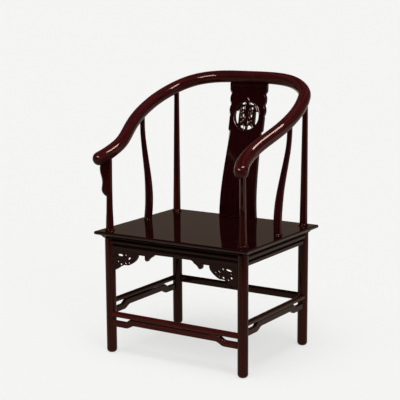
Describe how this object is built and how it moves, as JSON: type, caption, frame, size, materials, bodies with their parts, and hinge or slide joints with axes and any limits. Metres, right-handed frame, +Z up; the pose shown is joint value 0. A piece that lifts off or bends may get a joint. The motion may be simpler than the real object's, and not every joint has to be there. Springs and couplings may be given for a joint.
{
  "type": "horseshoe back armchair",
  "caption": "Armchair with a round crest rail sweeping down into the arms, an S-curved splat with a pierced medallion, and a flat wooden seat on round legs joined by stretchers.",
  "frame": {"origin": "on the floor at the middle of the whole chair's footprint", "axes": "+Z up, the chair faces -Y, +X to the right of someone looking at its front"},
  "size_m": [0.6662, 0.5971, 0.9931],
  "materials": {
    "rail_wood": "high-gloss transparent lacquer on dark reddish hardwood",
    "post_wood": "high-gloss transparent lacquer on dark reddish hardwood",
    "frame_wood": "high-gloss transparent lacquer on dark reddish hardwood",
    "panel_wood": "high-gloss transparent lacquer, polished flat",
    "splat_wood": "high-gloss transparent lacquer on dark reddish hardwood",
    "apron_wood": "high-gloss transparent lacquer on dark reddish hardwood",
    "base_wood": "high-gloss transparent lacquer on dark reddish hardwood",
    "batten_wood": "thin lacquer, unpolished underside",
    "peg_wood": "high-gloss transparent lacquer on dark reddish hardwood"
  },
  "bodies": {
    "root": {"crest_back_left": "rail_wood", "crest_back_right": "rail_wood", "arm_left": "rail_wood", "arm_right": "rail_wood", "leg_front_left": "post_wood", "leg_front_right": "post_wood", "leg_rear_left": "post_wood", "leg_rear_right": "post_wood", "side_post_left": "post_wood", "side_post_right": "post_wood", "arm_bracket_left": "post_wood", "arm_bracket_right": "post_wood", "seat_rail_front": "frame_wood", "seat_rail_rear": "frame_wood", "seat_rail_left": "frame_wood", "seat_rail_right": "frame_wood", "seat_panel": "panel_wood", "splat": "splat_wood", "waist_rail_front": "apron_wood", "waist_rail_rear": "apron_wood", "waist_rail_left": "apron_wood", "waist_rail_right": "apron_wood", "apron_front": "apron_wood", "apron_rear": "apron_wood", "apron_left": "apron_wood", "apron_right": "apron_wood", "spandrel_left": "apron_wood", "spandrel_right": "apron_wood", "stretcher_front": "base_wood", "stretcher_rear": "base_wood", "stretcher_left": "base_wood", "stretcher_right": "base_wood", "hump_rail_front": "base_wood", "hump_rail_left": "base_wood", "hump_rail_right": "base_wood", "seat_batten_left": "batten_wood", "seat_batten_right": "batten_wood", "crest_pin_centre": "peg_wood", "crest_pin_left": "peg_wood", "crest_pin_right": "peg_wood", "frame_pegs": "peg_wood"}
  },
  "joints": []
}
